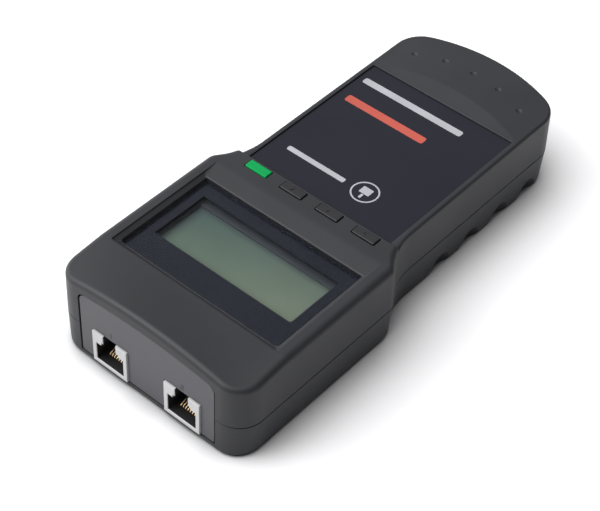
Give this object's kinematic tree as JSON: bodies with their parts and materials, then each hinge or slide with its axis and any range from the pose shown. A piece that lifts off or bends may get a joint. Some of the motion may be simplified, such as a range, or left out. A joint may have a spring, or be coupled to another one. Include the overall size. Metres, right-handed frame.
{
  "type": "network cable tester",
  "caption": "Handheld network cable tester: waisted two-shell case with an LCD window, a row of keys, a label plate on the handle, two 8P8C ports in the end and a hinged battery door below.",
  "frame": {"origin": "centre of the bounding box in plan, on the plane the case rests on", "axes": "+Z out of the display, -Y out of the port end, +Y along the handle, +X to the right as the display is seen with the ports at the bottom"},
  "size_m": [0.0822, 0.1851, 0.0363],
  "materials": {
    "case_plastic": "fine-textured matte dark grey ABS",
    "panel_plastic": "matte dark grey, slightly bluish",
    "label_film": "satin navy printed film",
    "window": "clear acrylic, navy print on the back of its border",
    "lcd": "grey-green reflective display",
    "key_green": "satin green",
    "key_grey": "satin dark grey",
    "jack_plastic": "light grey moulded PBT",
    "contact_gold": "gold-plated spring wire in its insert",
    "steel": "zinc-plated",
    "black_plastic": "satin black",
    "white_plastic": "satin white",
    "board": "green solder mask on glass-epoxy",
    "chip_epoxy": "black moulding compound",
    "battery_can": null,
    "lead_red": "red PVC insulation",
    "foam": "open-cell foam"
  },
  "bodies": {
    "case": {"battery_9v": "battery_can", "battery_foam": "foam", "battery_lead_black": "black_plastic", "battery_lead_red": "lead_red", "battery_snap": "black_plastic", "board_screw_1": "steel", "board_screw_2": "steel", "board_screw_3": "steel", "board_screw_4": "steel", "case_screw_1": "steel", "case_screw_2": "steel", "case_screw_3": "steel", "case_screw_4": "steel", "clock_crystal": "steel", "controller_chip": "chip_epoxy", "display_lens": "window", "down_switch_body": "black_plastic", "filter_capacitor": "black_plastic", "front_shell": "case_plastic", "handle_label": "label_film", "jack_contacts_left": "contact_gold", "jack_contacts_right": "contact_gold", "jack_housing_left": "jack_plastic", "jack_housing_right": "jack_plastic", "lcd_backlight": "white_plastic", "lcd_bezel": "black_plastic", "lcd_board": "board", "lcd_glass": "lcd", "lcd_header": "black_plastic", "lcd_spacer_left": "white_plastic", "lcd_spacer_right": "white_plastic", "lead_header": "white_plastic", "main_board": "board", "mode_switch_body": "black_plastic", "port_panel": "panel_plastic", "port_switch_chip_left": "chip_epoxy", "port_switch_chip_right": "chip_epoxy", "power_switch_body": "black_plastic", "rear_shell": "case_plastic", "up_switch_body": "black_plastic", "voltage_regulator": "chip_epoxy"},
    "power_key": {"power_button": "key_green", "power_switch_plunger": "black_plastic"},
    "up_key": {"up_button": "key_grey", "up_switch_plunger": "black_plastic"},
    "mode_key": {"mode_button": "key_grey", "mode_switch_plunger": "black_plastic"},
    "down_key": {"down_button": "key_grey", "down_switch_plunger": "black_plastic"},
    "door": {"battery_door": "case_plastic"}
  },
  "joints": [
    {"name": "power_press", "type": "slide", "parent": "case", "child": "power_key", "axis": [0, 0, -1], "range_m": [0, 0.0005], "stiffness_N_per_m": 400, "springref_m": -0.0005},
    {"name": "up_press", "type": "slide", "parent": "case", "child": "up_key", "axis": [0, 0, -1], "range_m": [0, 0.0005], "stiffness_N_per_m": 400, "springref_m": -0.0005},
    {"name": "mode_press", "type": "slide", "parent": "case", "child": "mode_key", "axis": [0, 0, -1], "range_m": [0, 0.0005], "stiffness_N_per_m": 400, "springref_m": -0.0005},
    {"name": "down_press", "type": "slide", "parent": "case", "child": "down_key", "axis": [0, 0, -1], "range_m": [0, 0.0005], "stiffness_N_per_m": 400, "springref_m": -0.0005},
    {"name": "door_hinge", "type": "hinge", "parent": "case", "child": "door", "pos_m": [0, 0.0797, 0.00025], "axis": [1, 0, 0], "range_deg": [0, 75]}
  ]
}
